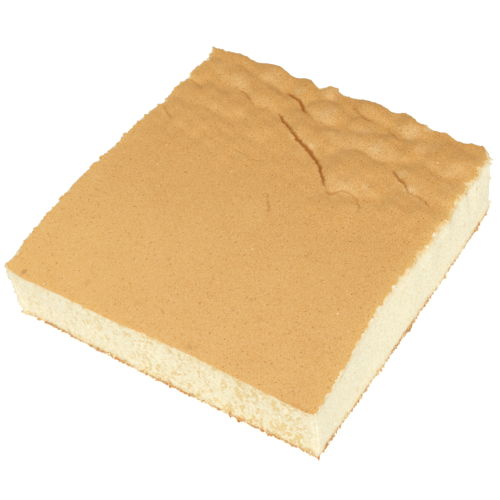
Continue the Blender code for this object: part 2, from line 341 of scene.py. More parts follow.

# %% [markdown]
# ## Where the skin is paler or darker
#
# Painted highlights lie on the lit fronts of some pillows, a few small places
# are scorched, and broad patches are a little browner or paler, partly from
# baking and partly as painted shade and light on shallow folds. Painting them
# by hand would do, but a list of round marks is easier to change. Each mark is
# x, y, reach and strength, and only its outline is left to chance.

# %% Marks on the skin
# Painted highlights: pale marks on the lit fronts of pillows
HIGHLIGHT_MARKS = [
    (5, 49.5, 2.2, 0.9), (-57, 74.5, 5, 0.5), (-42.5, 86, 6, 0.4), (36.5, 62, 4.5, 0.8),
    (45, 35.5, 2, 0.9), (34.5, 31.5, 6, 0.45), (66.5, 46, 2.8, 0.8), (56.5, 53.5, 2.5, 0.6),
    (46.5, 82.5, 5, 0.7), (53, 88.5, 3, 0.8), (-7, 89.5, 5, 0.6), (-23.5, 82, 2.5, 0.5),
    (0, 73.5, 6, 0.5), (24.5, 71.5, 5, 0.4), (19.5, 59, 8, 0.3), (57, 72.5, 3.5, 0.5),
    (77, 66, 4, 0.5), (44.5, 62, 4, 0.4),
]
SCORCHED = [
    (-2.5, 89, 1.2, 0.8), (10.5, 85.5, 1.5, 0.7), (76, 41.5, 1.0, 0.7), (30, 24.5, 1.0, 0.6),
    (23.5, -88.5, 2.6, 0.5), (-75.5, -92, 1.4, 1.0), (-43, -82, 1.4, 0.45),
    (-13.5, -79.5, 1.6, 0.3), (29, -61.5, 1.0, 0.5), (43, -59.5, 1.6, 0.3), (65, -42, 0.9, 0.6),
]
# Darker patches: partly browner baking, partly painted shade of sags and shallow folds
BROWNER_AND_SHADED = [
    (-63, 13, 15, 0.6), (-48, 26, 10, 0.5), (-63, 34, 7, 0.4), (38, 10, 6, 0.7), (44, -14, 5, 0.5),
    (30, 39, 5, 0.5), (68, 28, 6, 0.4), (78, 18, 4, 0.6), (10, 18, 4, 0.4), (-32, 43, 5, 0.6),
    (-76, -55, 7, 0.35), (-19, -76, 9, 0.3), (16, -70, 10, 0.25), (50, 63, 5, 0.5),
    (-52, 49, 4, 0.6), (-60, 72, 5, 0.6), (-42, 84, 3, 0.7), (-3, 70, 4, 0.5),
    (45, 31, 5, 0.5), (39, 59, 5, 0.4), (59, 4, 6, 0.3), (73, 68, 4, 0.5),
    (-48, -14, 9, 0.3), (-21, 20, 9, 0.3), (74, -62, 9, 0.3), (50, -82, 13, 0.25),
    (80, -84, 9, 0.35), (83, 23, 5, 0.45),
]
# Paler patches: partly lighter baking, partly painted light on shallow folds
PALER_AND_LIT = [
    (61, 78, 4, 0.6), (11, 62, 4, 0.5), (-14, -30, 10, 0.3), (47, 21, 3, 0.5), (-73, 82, 4, 0.5),
    (80, 71, 5, 0.5), (3, -7, 9, 0.3), (58, 42, 3, 0.4), (35, -33, 7, 0.25), (2, 47, 4, 0.6),
    (-28, -50, 9, 0.2), (77, -44, 7, 0.2), (33, 89, 5, 0.3), (-86, -24, 5, 0.5), (85, -51, 4, 0.3),
    (83, 54, 5, 0.35),
]


def mark_value(x, y, marks):
    """0 to 1: the strongest mark at each point, each a bell round its middle
    with an uneven outline."""
    total = np.zeros_like(x)
    uneven = 1 + 0.5 * grain(x, y, 1.4, 46)
    for mid_x, mid_y, reach, strength in marks:
        away = np.hypot(x - mid_x, y - mid_y) / reach * uneven
        total = np.maximum(total, strength * np.exp(-away ** 2))
    return total


print("marks on the skin:", sum(len(marks) for marks in (HIGHLIGHT_MARKS, SCORCHED, BROWNER_AND_SHADED, PALER_AND_LIT)))

# %% [markdown]
# ## From a grid to a closed mesh
#
# All pieces are grids of points. `grid_faces` joins a grid's neighbours into
# four-sided faces. `make_piece` turns millimetres into metres, puts the middle
# of the footprint at zero, hands points and faces to Blender, and keeps any
# extra value per point as an attribute, which the materials read. Bevels and
# modifiers could round the shapes too, but here the grids are already fine.

# %% Mesh helpers
# Nibs and crumbs may stand this far, in metres, outside the solid's sides.
NIB_ROOM = np.array([[-0.0005, -0.0005, 0.0], [0.0005, 0.0005, 0.0]])


def grid_faces(rows, columns, first=0):
    """Faces of a grid of points counted row by row, turning anticlockwise."""
    start = first + np.arange(rows - 1)[:, None] * columns + np.arange(columns - 1)[None, :]
    quads = np.stack([start, start + 1, start + columns + 1, start + columns], axis=-1)
    return quads.reshape(-1, 4)


def ring_faces(lower, upper):
    """Faces between two closed rings of point numbers of equal length."""
    return np.stack([lower, np.roll(lower, -1), np.roll(upper, -1), upper], axis=-1)


def new_object(name, data):
    """A new object in the scene."""
    made = bpy.data.objects.new(name, data)
    bpy.context.scene.collection.objects.link(made)
    return made


def make_piece(name, points, faces, values=None):
    """A mesh object with its place in its mesh and its values as attributes."""
    points = (np.asarray(points, dtype=float) - (MIDDLE[0], MIDDLE[1], 0.0)) * MM
    points = np.clip(points, *(np.array(CAD_BOX) + NIB_ROOM))
    mesh = bpy.data.meshes.new(name)
    mesh.from_pydata(points.tolist(), [], [list(map(int, face)) for face in faces])
    for label, data in (values or {}).items():
        attribute = mesh.attributes.new(label, "FLOAT", "POINT")
        attribute.data.foreach_set("value", np.asarray(data, dtype=np.float32))
    mesh.shade_smooth()
    mesh.update()
    piece = new_object(name, mesh)
    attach(piece, "root")
    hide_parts("sponge")
    print(name, "triangles:", sum(len(face) - 2 for face in faces))
    return piece

# %% [markdown]
# ## The baked skin
#
# The skin is a sheet a millimetre or so thick. Its top follows the height
# function on a grid whose rows lie closer where the folds are. Its rim turns
# down over the cut, and its underside is a flat face hidden in the crumb. The
# edges tore as the knife went through, so fine teeth and nibs are added to the
# outline. A displacement map could do the relief, but not the torn edge.

# %% Torn edges
RAGGED = {"right": 1.15, "left": 1.9, "back": 0.75, "front": 0.16}
TEETH = 5.7                      # mm from one tooth to the next
TORN = 1.6                       # mm that a torn edge reaches in
# Where each corner of the skin is pulled to, in millimetres.
SKIN_CORNERS = [((-1, -1), 0.1, 1.9), ((1, -1), -0.2, 0.9),
                ((1, 1), -1.4, -1.1), ((-1, 1), 0.1, 0.1)]


def ragged(at, amount, seed):
    """Fine unevenness of a torn edge: grain, the odd larger nib, and slow
    rises that end in a sudden step, like the teeth of a saw."""
    fine = grain_along(at, 1.1, seed) + 0.8 * grain_along(at, 2.4, seed + 1)
    large = nibs(grain_along(at, 3.1, seed + 2, lane=5))
    teeth = 0.5 - np.mod(at + 3 * grain_along(at, 11, seed + 3, lane=3), TEETH) / TEETH
    return amount * (0.5 * fine + large + 0.7 * teeth - 0.25)


def skin_place(x, y):
    """Where a point of the square lies on the skin, with torn edges."""
    new_x, new_y = outline_map(x, y, SKIN_SIDES)
    right, left, back, front = (np.exp(-(1 - side) * HALF_X / TORN) for side in (x, -x, y, -y))
    new_x = new_x + right * ragged(new_y + 300, RAGGED["right"], 21)
    new_x = new_x - left * ragged(new_y + 300, RAGGED["left"], 24)
    new_y = new_y + back * ragged(new_x + 300, RAGGED["back"], 27)
    new_y = new_y - front * ragged(new_x + 300, RAGGED["front"], 30)
    for corner, shift_x, shift_y in SKIN_CORNERS:
        pull = near_corner(x, y, corner, 3.2)
        new_x, new_y = new_x + shift_x * pull, new_y + shift_y * pull
    return new_x, new_y


tear = ragged(np.arange(0, 180, 0.2), RAGGED["left"], 24)
print("the left edge tears by up to", round(float(np.ptp(tear)), 1), "mm")

# %% [markdown]
# ## What the skin carries for its colours
#
# Some of the skin's colours follow its shape: the cut edge is yellower, where
# the knife dragged the brown came off and pale crumb shows, and the slopes of
# the folds get painted light and shade by the way they face. These are worked
# out here, once for each point of the grid, and kept with the mesh. The
# material could find a fold by its slope, but not the way to the cut edge.

# %% Values along the edges
def band_value(x, y):
    """How much a point belongs to the yellower band along the cut edges: it
    falls off over 4 mm from each edge, and is weak along the back."""
    from_cut = side_distances(x, y)
    front = 0.75 - 0.45 * smooth(x * 2 + 0.6)
    bands = {"right": (1.0, 4.5), "left": (0.8, 4), "front": (front, 4), "back": (0.25, 3)}
    return np.maximum.reduce([most * np.exp(-from_cut[side] / reach)
                              for side, (most, reach) in bands.items()])


def fringe_value(x, y):
    """Where the cut took the brown off: patches within a millimetre or two of
    the edge, deepest along the right side, none in front."""
    flat_x, flat_y = x * HALF_X, y * HALF_Y
    mottle = grain(flat_x, flat_y, 0.9, 44) + 0.8 * grain(flat_x, flat_y, 2.4, 45)
    reach = {"right": 0.25 * (1 + 1.2 * smooth(y * 1.5)), "left": 0.4, "front": 0.0, "back": 0.25}
    from_cut = side_distances(x, y)
    worn = [(reach[side] * (1 + 2.2 * mottle) - from_cut[side]) / 0.6 + 0.1 for side in reach]
    return np.maximum.reduce([smooth(value) for value in worn])


def slope_light_value(x, y):
    """Slope of the skin from front to back, over 0.8 mm, for painted light and
    shade: a slope that rises faces the lamp and is painted paler, and one that
    falls faces away and is painted browner."""
    return (swollen_height(x, y + 0.4) - swollen_height(x, y - 0.4)) / 0.8


def skin_values(square_x, square_y, x, y):
    """The values of the top of the skin, by name, one for each point."""
    return {"crease": np.clip(crease_depth(x, y) / 1.3, 0, 1),
            "edge": band_value(square_x, square_y),
            "fringe": fringe_value(square_x, square_y),
            "slope_light_and_shade": slope_light_value(x, y),
            "painted_highlight": mark_value(x, y, HIGHLIGHT_MARKS),
            "scorched": mark_value(x, y, SCORCHED),
            "tone_and_shade": mark_value(x, y, BROWNER_AND_SHADED) - mark_value(x, y, PALER_AND_LIT)}


near_cut = np.linspace(0.9, 1, 5)
print("yellow band near the right cut:", band_value(near_cut, near_cut * 0).round(2).tolist())

# %% [markdown]
# ## Building the skin
#
# The top of the skin and its rim are joined in one body. The rim goes down in
# three rings: over the edge, in under it, and then to a flat underside that
# lies inside the crumb, where it can't be seen.

# %% Rows and rim of the skin
SKIN_COLUMNS, SKIN_ROWS = 300, 312
SKIN_UNDERSIDE = 38.6            # height of the hidden flat underside
# For each ring of the rim, how far in it lies, how far below the edge, and how
# much of the colour there is that of the lower skin.
SKIN_RIM = [(0.02, 0.45, 0.35), (0.25, 1.0, 1.0), (2.5, None, 1.0)]


def spaced(steps):
    """Positions from -1 to 1 with the given relative steps, finer at both ends."""
    steps[:6] *= 0.5
    steps[-6:] *= 0.5
    places = np.concatenate([[0], np.cumsum(steps)])
    return -1 + 2 * places / places[-1]


def rim_numbers(rows, columns):
    """Point numbers round the rim of a grid, anticlockwise from its start."""
    number = np.arange(rows * columns).reshape(rows, columns)
    return np.concatenate([number[0, :-1], number[:-1, -1], number[-1, :0:-1], number[:0:-1, 0]])


def rim_rings(edge):
    """Points of the rings below the edge: each moved in towards the middle and
    down by an uneven drop, the last to the flat underside."""
    inward = -edge[:, :2] / np.linalg.norm(edge[:, :2], axis=1, keepdims=True)
    uneven = 0.75 + 0.25 * grain(edge[:, 0] + 300, edge[:, 1] + 300, 1.6, 43)
    rings = []
    for inset, drop, _ in SKIN_RIM:
        height = edge[:, 2] * 0 + SKIN_UNDERSIDE if drop is None else edge[:, 2] - drop * uneven
        rings.append(np.column_stack([edge[:, :2] + inward * inset, height]))
    return rings


print("rim points:", len(rim_numbers(SKIN_ROWS, SKIN_COLUMNS)))

# %% Skin
def build_skin():
    """The skin as one closed body: relief, rim and hidden underside."""
    # The rows lie closer over the folds than over the smooth front.
    rows = spaced(np.where(np.linspace(-1, 1, SKIN_ROWS - 1) < -0.1, 1.25, 0.85))
    square_x, square_y = np.meshgrid(spaced(np.ones(SKIN_COLUMNS - 1)), rows)
    x, y = skin_place(square_x, square_y)
    from_edge = np.minimum.reduce(list(side_distances(square_x, square_y).values()))
    height = skin_height(x, y) - 0.18 * np.exp(-from_edge / 0.7)
    height = height + 0.018 * grain(x, y, 1.3, 41) + 0.015 * grain(x, y, 2.6, 42)
    top = np.stack([x, y, height], axis=-1).reshape(-1, 3)
    rim = rim_numbers(SKIN_ROWS, SKIN_COLUMNS)
    faces, ring = grid_faces(SKIN_ROWS, SKIN_COLUMNS).tolist(), rim
    for count in range(len(SKIN_RIM)):
        fresh = len(top) + count * len(rim) + np.arange(len(rim))
        faces += ring_faces(fresh, ring).tolist()
        ring = fresh
    faces.append(ring[::-1].tolist())
    below = np.zeros(len(SKIN_RIM) * len(rim))
    values = {label: np.concatenate([value.ravel(), below])
              for label, value in skin_values(square_x, square_y, x, y).items()}
    for label in ("edge", "fringe"):
        values[label][len(top):] = np.tile(values[label][rim], len(SKIN_RIM))
    values["lower"] = np.concatenate([np.zeros(len(top)),
                                      np.repeat([lower for _, _, lower in SKIN_RIM], len(rim))])
    return make_piece("baked_skin", np.concatenate([top, *rim_rings(top[rim])]), faces, values)


skin = build_skin()

# %% [markdown]
# ## The open crumb
#
# A cut through sponge opens thousands of bubbles. On the real slab they are
# one to three millimetres wide and a little taller than wide, larger towards
# the base. Here they are scattered hollows and pits of grain that press in the
# cut face, so the pores are real shape and catch the light. A texture of dots
# would be lighter, but it would look flat from close by.

# %% Pores
LEAN = (0.15, 0.1, 0.1, -0.1)    # which way the bubbles lean, side by side


def pore_depth(along, up, openness, lean, seed):
    """Depth of the pores in the cut face in millimetres, and 0 to 1 for colour.

    Small irregular pits are where two sizes of grain together pass a level,
    and the larger bubbles are round hollows. Both open up towards the base,
    are taller than wide, and lean a little to one side as the cake rose.
    """
    rise, across = 0.87 * up + 0.49 * lean * along, 0.87 * along - 0.49 * lean * up
    low = 1 + 0.35 * smooth(1 - up / 14)
    patch = 0.75 + 0.5 * smooth(0.5 + 0.5 * waves(along, up, 26, seed + 9))
    fine = grain(across, rise / 1.8, 1.0, seed + 3) + grain(across + 31, rise / 1.4, 0.75, seed + 4)
    broad = grain(across, rise / 1.8, 2.4, seed + 5)
    pits = smooth((fine + 0.7 * broad - 0.7 + 0.7 * openness) / 1.5) * np.minimum(openness, 1)
    wide = hollows(across, rise, 3.9, (0.7, 1.5), 0.55 * openness, seed, 1.6)
    depth = (0.26 * wide + 0.21 * pits) * low * patch
    return depth, np.clip(0.6 * wide + 0.9 * pits, 0, 1) * low * patch


patch = np.meshgrid(np.arange(0, 40, 0.5), np.arange(0, 40, 0.5))
print("deepest pore in mm:", round(float(pore_depth(*patch, 1.6, LEAN[0], 50)[0].max()), 2))

# %% [markdown]
# ## Where the cut sides run
#
# Each side stands on the outline of the base and leans out to the outline of
# the skin. It is pressed in by the pores, by the slow wandering of the knife
# and by fine roughness, and it is chipped at its corners, where a little crumb
# breaks away.

# %% Places round the slab
SIDE_LENGTH = 182.0              # of one side of the slab, near enough for all four
APART = 400                      # mm from side to side in the grain, so that none repeat
FOOT = 0.4                       # height of the lowest row
CORNERS = [(-1, -1), (1, -1), (1, 1), (-1, 1)]


def along_side(side, t):
    """Points of the square at shares t of the way along one side."""
    (ax, ay), (bx, by) = CORNERS[side], CORNERS[(side + 1) % 4]
    return ax + (bx - ax) * t, ay + (by - ay) * t


def from_corner(t):
    """Distance from the nearer end of a side."""
    return np.minimum(t * SIDE_LENGTH, SIDE_LENGTH - t * SIDE_LENGTH)


def crumbled(x, y):
    """How far the foot of the front left corner has crumbled away."""
    return 2.3 * near_corner(x, y, CORNERS[0], 3)


def crumb_place(x, y, share, top):
    """The plain cut side, at shares of its height: the base's outline at the
    foot, leaning out to the skin's outline at the top."""
    skin_x, skin_y = outline_map(x, y, SKIN_SIDES, SIDE_BLUR)
    base_x, base_y = outline_map(x, y, BASE_SIDES, BASE_BLUR)
    lean = share ** (1.6 + 1.4 * near_corner(x, y, CORNERS[0], 25))
    side_x = base_x + (skin_x - base_x) * lean + crumbled(x, y) * smooth(1 - share / 0.22)
    side_y = base_y + (skin_y - base_y) * lean
    return side_x, side_y, FOOT + (top - FOOT) * share


front = [round(float(crumb_place(0, -1, share, THICKNESS)[1]), 1) for share in (0, 0.5, 1)]
print("front cut in mm, at the foot, half way up and at the top:", front)

# %% Depth of the cut
LIP = (0.1, 0.45, 0.2, 0.0)      # how far the crumb reaches past the skin, side by side


def chip_depth(corner, up, share):
    """How far the cut is chipped at a corner, from two sizes of grain. The
    front right one is sharper, and the back right one has a nib near the top."""
    chips = 1.5 * grain(corner * 37.0, up, 1.0, 82) + 1.1 * grain(corner * 53.0, up, 2.3, 83)
    chips = chips * np.where(corner == 1, 0.25, 1.0) * (1 - 0.8 * smooth((share - 0.88) / 0.08))
    return chips - 1.7 * np.exp(-((share - 0.93) / 0.03) ** 2) * (corner == 2)


def cut_depth(side, t, share, up, pores):
    """How far in the cut lies: pores, knife and roughness, less towards the
    skin, where it comes out by its lip, and chips within 1.6 mm of a corner."""
    along = t * SIDE_LENGTH
    knife = 0.22 * waves(along + 90 * side, up * 1.4, 34, 60 + side)
    rough = 0.10 * grain(along + APART * side, up, 0.8, 70 + side)
    rough = rough + 0.07 * grain(along, up, 1.9, 75 + side)
    inset = (0.12 + pores + knife + rough) * (1 - 0.7 * smooth((share - 0.85) / 0.14))
    inset = inset - LIP[side] * smooth(share / 0.8) + 0.3 * smooth((share - 0.975) / 0.025)
    inset = inset * (0.35 + 0.65 * smooth(from_corner(t) / 7.0))
    chips = chip_depth(np.where(t < 0.5, side, (side + 1) % 4), up, share)
    at_corner = 1 - smooth(from_corner(t) / 1.6)
    return inset * (1 - at_corner) + (0.1 + chips * smooth(share / 0.05)) * at_corner


spot = np.array([[0.5]])
print("depth of the front cut between pores, in mm:",
      round(cut_depth(0, spot, spot, spot * 42, 0.0).item(), 2))

# %% [markdown]
# ## Building the crumb
#
# Four pieces make the crumb, one behind each side and all meeting in the
# middle of the slab. At a corner both neighbours use the same points, so no
# gap shows. Each is closed by a ledge that runs in under the skin, a hidden
# flat top, a flat bottom and two flat walls to the middle of the slab.

# %% Corners and stains of the crumb
CRUMB_ROWS = 96
CRUMB_TOP = 38.4                 # height of the hidden flat top
UNDER_SKIN = 0.32                # how far below the top of the skin the cut ends
CORNER_RADIUS = 3.2
OUTWARD = [(0, -1), (1, 0), (0, 1), (-1, 0)]


def rounded_side(side, t, share, places, inset):
    """The side with its corners rounded. Within a radius of the corner the
    wall turns by up to 45 degrees, its neighbour turns the rest, and the inset
    follows the turned wall."""
    radius = 0.5 + (CORNER_RADIUS - 0.5) * smooth(share / 0.2) * smooth((1.15 - share) / 0.3)
    turn = np.pi / 4 * np.clip(1 - from_corner(t) / radius, 0, 1)
    slide = np.where(turn > 0, radius * (1 - np.sin(turn)) - from_corner(t), 0)
    tuck = radius * (1 - np.cos(turn))
    sides = zip(places, OUTWARD[side], OUTWARD[(side - 1) % 4], OUTWARD[(side + 1) % 4])
    for place, outward, before, after in sides:
        beside = np.where(t < 0.5, before, after)
        normal = outward * np.cos(turn) + beside * np.sin(turn)
        yield place - beside * slide - outward * tuck - normal * inset


def rind_value(side, t, up, top):
    """0 to 1: how far the crumb is stained, in mottled patches that fade over
    2.6 mm below the skin and 2.8 mm above the base. The far half of the front
    and of the right side baked browner."""
    mottle = 0.5 + 0.5 * grain(t * SIDE_LENGTH + APART * side, up, 1.3, 71)
    mottle = mottle + 0.4 * grain(t * SIDE_LENGTH, up, 3.7, 72)
    rind = (0.15 + 0.6 * mottle) * np.exp(-(top - up) / 2.6)
    far = smooth((t - 0.4) / 0.25)
    if side == 0:
        rind = rind + 0.26 * far * mottle * smooth(up / 20)
    if side == 1:
        rind = rind * (1 + 0.9 * far)
    stain = 0.45 if side == 1 else 0.7
    return np.clip(rind + stain * (0.6 + 1.2 * mottle) * np.exp(-up / 2.8), 0, 1)


def closed_wedge(points, columns):
    """The points and faces of a cut side, closed to a wedge. A ledge runs in
    under the skin, then the wedge drops to its flat top."""
    ledge, upper = (points[-columns:] * (inward, inward, 1.0) for inward in (0.972, 0.955))
    ledge[:, 2] = skin_height(ledge[:, 0], ledge[:, 1]) - 0.5
    upper[:, 2] = CRUMB_TOP
    points = np.concatenate([points, ledge, upper, [[0, 0, CRUMB_TOP], [0, 0, FOOT]]])
    starts = np.arange(CRUMB_ROWS + 2) * columns
    middle_top, middle_low = len(points) - 2, len(points) - 1
    walls = [(starts[-1] + np.arange(columns)).tolist() + [middle_top],
             np.arange(columns)[::-1].tolist() + [middle_low],
             starts.tolist() + [middle_top, middle_low],
             (starts + columns - 1)[::-1].tolist() + [middle_low, middle_top]]
    return points, grid_faces(CRUMB_ROWS + 2, columns).tolist() + walls


shifts = rounded_side(0, spot * 0, spot, (0.0, 0.0), 0.0)
print("a rounded corner draws back by, in mm:", [round(shift.item(), 2) for shift in shifts])

# %% Crumb
def build_crumb(side, name, columns, openness):
    """One wedge of crumb behind one side. Its pores open from the first
    openness to the second along the side, and are shallow near its ends."""
    t, share = np.meshgrid(np.linspace(0, 1, columns), np.linspace(0, 1, CRUMB_ROWS))
    x, y = along_side(side, t)
    top = skin_height(*outline_map(x[:1], y[:1], SKIN_SIDES, SIDE_BLUR)) - UNDER_SKIN
    *places, up = crumb_place(x, y, share, top)
    opening = openness[0] + (openness[1] - openness[0]) * t
    along = t * SIDE_LENGTH + APART * side
    pores, colour = pore_depth(along, up, opening, LEAN[side], 50 + 10 * side)
    places = rounded_side(side, t, share, places, cut_depth(side, t, share, up, pores))
    points, faces = closed_wedge(np.stack([*places, up], axis=-1).reshape(-1, 3), columns)
    colour = colour * smooth(from_corner(t) / 7.0) * ((0.65 + 0.6 * t) if side == 0 else 1.0)
    rind, hidden = rind_value(side, t, up, top), np.zeros(columns + 2)
    pore = np.concatenate([colour.ravel(), hidden, hidden[:columns]])
    rind = np.concatenate([rind.ravel(), rind[-1] * 0.7, hidden])
    return make_piece(name, points, faces, {"pore": pore, "rind": rind})


crumbs = [build_crumb(0, "crumb_front", 480, (0.75, 1.6)),
          build_crumb(1, "crumb_right", 480, (0.25, 0.25)),
          build_crumb(2, "crumb_back", 380, (0.6, 0.8)),
          build_crumb(3, "crumb_left", 380, (0.8, 0.7))]

# %% [markdown]
# ## The skin under the slab
#
# Underneath, the cake browned against the baking sheet. That skin is thinner
# and breaks as it is cut, so from the side it is a ragged brown line that
# comes and goes. It could be a brown stripe painted on the crumb, but the real
# one stands out in knobs, so it is a flat body whose rim swells out and up by
# an uneven amount.

# %% Base skin
BASE_COLUMNS = 620               # points along each side of the rim
# For each ring of the rim, how far in it lies, and its share of the height.
BASE_RIM = [(1.2, 0), (0.1, 0), (0.0, 0.25), (0.05, 0.5), (0.2, 0.75), (0.5, 1.0), (1.6, 0.7)]


def base_outline(x, y):
    """The base's outline, drawn in a little at its corners."""
    rim_x, rim_y = outline_map(x, y, BASE_SIDES, BASE_BLUR)
    for corner in CORNERS:
        pull = 0.3 * near_corner(x, y, corner, 1.5)
        rim_x, rim_y = rim_x - corner[0] * pull, rim_y - corner[1] * pull
    return rim_x + crumbled(x, y), rim_y


def build_base():
    """A thin closed sheet whose rim is knobbly: each point of the rim moves
    out by grain that also changes with height, and the rim's own height
    wanders between almost nothing and a few millimetres."""
    t = np.linspace(0, 1, BASE_COLUMNS, endpoint=False)
    x, y = (np.concatenate(part) for part in zip(*(along_side(side, t) for side in range(4))))
    rim_x, rim_y = base_outline(x, y)
    away_x, away_y = rim_x / np.hypot(rim_x, rim_y), rim_y / np.hypot(rim_x, rim_y)
    around = np.arange(len(x)) * SIDE_LENGTH / BASE_COLUMNS
    lift = 1.3 + 1.2 * grain_along(around, 0.9, 93) + 1.6 * grain_along(around, 3.6, 94, lane=9)
    missing = (around < 6.5) | (around > 4 * SIDE_LENGTH - 4)
    lift = np.clip(lift, 0.15, None) * np.where(missing, 0.1, 1.0)
    points, numbers = [], np.arange(len(BASE_RIM) * len(x)).reshape(len(BASE_RIM), -1)
    for inset, rise in BASE_RIM:
        height = rise * lift
        knobs = grain(around, height, 0.7, 90) + 0.7 * grain(around, height, 1.7, 91)
        push = -0.15 + 0.7 * knobs + 1.2 * nibs(grain(around + 7, height, 1.3, 92))
        push = push * (inset < 1) * np.where(missing, 0.3, 1.0) - inset
        points.append(np.stack([rim_x + away_x * push, rim_y + away_y * push, height], axis=-1))
    faces = [face for lower, upper in zip(numbers, numbers[1:])
             for face in ring_faces(lower, upper).tolist()]
    faces += [numbers[0, ::-1].tolist(), numbers[-1].tolist()]
    return make_piece("base_skin", np.concatenate(points), faces)


base = build_base()

# %% [markdown]
# ## Crumbs that cling to the edges
#
# A knife leaves loose crumbs along every edge it crosses. Each is a small
# lumpy ball, half sunk in the cake. They could be scattered by a particle
# system, but one mesh of balls placed by numpy is exact and light: a ring of
# six points, three times over, with a point at each end, makes a ball of only
# 36 triangles, and uneven radii make it lumpy.

# %% A lumpy ball
BALL_RINGS, BALL_SIDES = 3, 6


def ball():
    """Unit points and faces of a small closed ball: rings of points at equal
    angles from pole to pole, and one point at each pole."""
    tilt = np.linspace(0, np.pi, BALL_RINGS + 2)[1:-1, None]
    turn = np.linspace(0, 2 * np.pi, BALL_SIDES, endpoint=False)[None, :] + tilt * 0.5
    rings = np.stack([np.sin(tilt) * np.cos(turn), np.sin(tilt) * np.sin(turn),
                      -np.cos(tilt) + turn * 0], axis=-1).reshape(-1, 3)
    number = np.arange(BALL_RINGS * BALL_SIDES).reshape(BALL_RINGS, BALL_SIDES)
    belts = np.concatenate([ring_faces(low, high) for low, high in zip(number, number[1:])])
    first, last = number[0], number[-1]
    low_tips = np.stack([np.roll(first, -1), first, first * 0 + len(rings)], axis=-1)
    high_tips = np.stack([last, np.roll(last, -1), last * 0 + len(rings) + 1], axis=-1)
    points = np.concatenate([rings, [[0, 0, -1], [0, 0, 1]]])
    return points, belts, np.concatenate([low_tips, high_tips])


print("points of one crumb:", len(ball()[0]))

# %% [markdown]
# ## Setting the crumbs down
#
# Most crumbs lie at the foot of the cut, and they are larger and browner there
# than along the skin. Each gets a random place, size and browning, and the
# draws come from one seeded source, so the order of these lines matters.

# %% Crumbs
def scatter_crumbs(side, count, edge, rng):
    """Middles, radii and browning of crumbs along one edge of one side."""
    x, y = along_side(side, rng.uniform(0.02, 0.98, count))
    radius = 0.18 + (0.65 if edge == "base" else 0.25) * rng.uniform(0, 1, count) ** 3
    if edge == "base":
        mid_x, mid_y = outline_map(x, y, BASE_SIDES, BASE_BLUR)
        up = 0.3 + 2.7 * rng.uniform(0, 1, count) ** 1.5
        brown = np.clip(0.9 - 0.25 * up + rng.uniform(-0.35, 0.3, count), 0, 1)
    else:
        mid_x, mid_y = outline_map(x, y, SKIN_SIDES, 1.6)
        up = skin_height(mid_x, mid_y) - 0.25 - 2.2 * rng.uniform(0, 1, count) ** 2.0
        brown = rng.uniform(0.2, 0.55, count)
    out = 0.3 * rng.uniform(-1, 1, count) + (LIP[side] if edge == "skin" else 0.15)
    mid_x, mid_y = mid_x + OUTWARD[side][0] * out, mid_y + OUTWARD[side][1] * out
    return np.stack([mid_x, mid_y, np.maximum(up, radius)], axis=-1), radius, brown


def build_crumbs(plan):
    """All crumbs as one mesh: each ball is scaled, made lumpy and set down
    where it still fits in the slab's box."""
    rng = np.random.default_rng(61)
    sets = [scatter_crumbs(side, count, edge, rng) for side, count, edge in plan]
    middle, radius, brown = (np.concatenate(part) for part in zip(*sets))
    unit, quads, tips = ball()
    lumps = rng.uniform(0.65, 1.25, (len(middle), len(unit), 1))
    lumps = lumps * rng.uniform(0.7, 1.3, (len(middle), 1, 3))
    reach = 1.6 * radius[:, None]
    low, high = (corner / MM + (*MIDDLE, 0.0) for corner in np.array(CAD_BOX) + NIB_ROOM)
    middle = np.clip(middle, low + reach, high - reach)
    points = middle[:, None, :] + unit * lumps * radius[:, None, None]
    offsets = (np.arange(len(middle)) * len(unit))[:, None, None]
    faces = [face for shape in (quads, tips)
             for face in (shape + offsets).reshape(-1, shape.shape[1]).tolist()]
    return make_piece("crumb_bits", points.reshape(-1, 3), faces,
                      {"brown": np.repeat(brown, len(unit))})


bits = build_crumbs([(0, 300, "base"), (1, 300, "base"), (2, 160, "base"), (3, 160, "base"),
                     (1, 110, "skin"), (3, 120, "skin"), (2, 50, "skin"), (0, 20, "skin")])

# %% [markdown]
# ## Shared shader effects
#
# Two effects are used by more than one material. Pinholes are the tiny round
# holes that steam leaves in a baked surface, and crumb grain is the fine
# unevenness of everything here. Each is a node group with named sockets, made
# once and placed in each material with its own sizes.

# %% Node groups
def add_node(tree, kind, inputs=None, **settings):
    """A new shader node with its settings. Each input is given a value, or is
    linked where another node's output is given. None leaves it alone."""
    made = tree.nodes.new("ShaderNode" + kind)
    for label, value in settings.items():
        setattr(made, label, value)
    for label, value in (inputs or {}).items():
        if isinstance(value, bpy.types.NodeSocket):
            tree.links.new(value, made.inputs[label])
        elif value is not None:
            made.inputs[label].default_value = value
    return made


def new_group(name, inputs, output):
    """An empty shader group with float inputs and one named output."""
    group = bpy.data.node_groups.new(name, "ShaderNodeTree")
    for label, default in inputs:
        socket = group.interface.new_socket(label, in_out="INPUT", socket_type="NodeSocketFloat")
        socket.default_value = default
    group.interface.new_socket(output, in_out="OUTPUT", socket_type="NodeSocketFloat")
    return group, group.nodes.new("NodeGroupInput"), group.nodes.new("NodeGroupOutput")


def grain_group():
    """Fine unevenness from two sizes of noise, as one value around 0.5. The
    noise is turned askew, since a level slice along its grid would be patchy."""
    sockets = [("Scale", 900.0), ("Share of coarse", 0.4)]
    group, given, result = new_group("fine_grain", sockets, "Value")
    scale = given.outputs["Scale"]
    place = add_node(group, "TexCoord").outputs["Object"]
    askew = add_node(group, "VectorRotate", {"Vector": place, "Rotation": (0.7, 0.5, 0.4)},
                     rotation_type="EULER_XYZ").outputs[0]
    wider = add_node(group, "Math", {0: scale, 1: 0.35}, operation="MULTIPLY").outputs[0]
    fine, coarse = (add_node(group, "TexNoise", {"Vector": askew, "Scale": size, "Detail": 3.0})
                    for size in (scale, wider))
    blend = add_node(group, "Mix", {0: given.outputs["Share of coarse"],
                                    2: fine.outputs["Fac"], 3: coarse.outputs["Fac"]})
    group.links.new(blend.outputs[0], result.inputs["Value"])
    return group


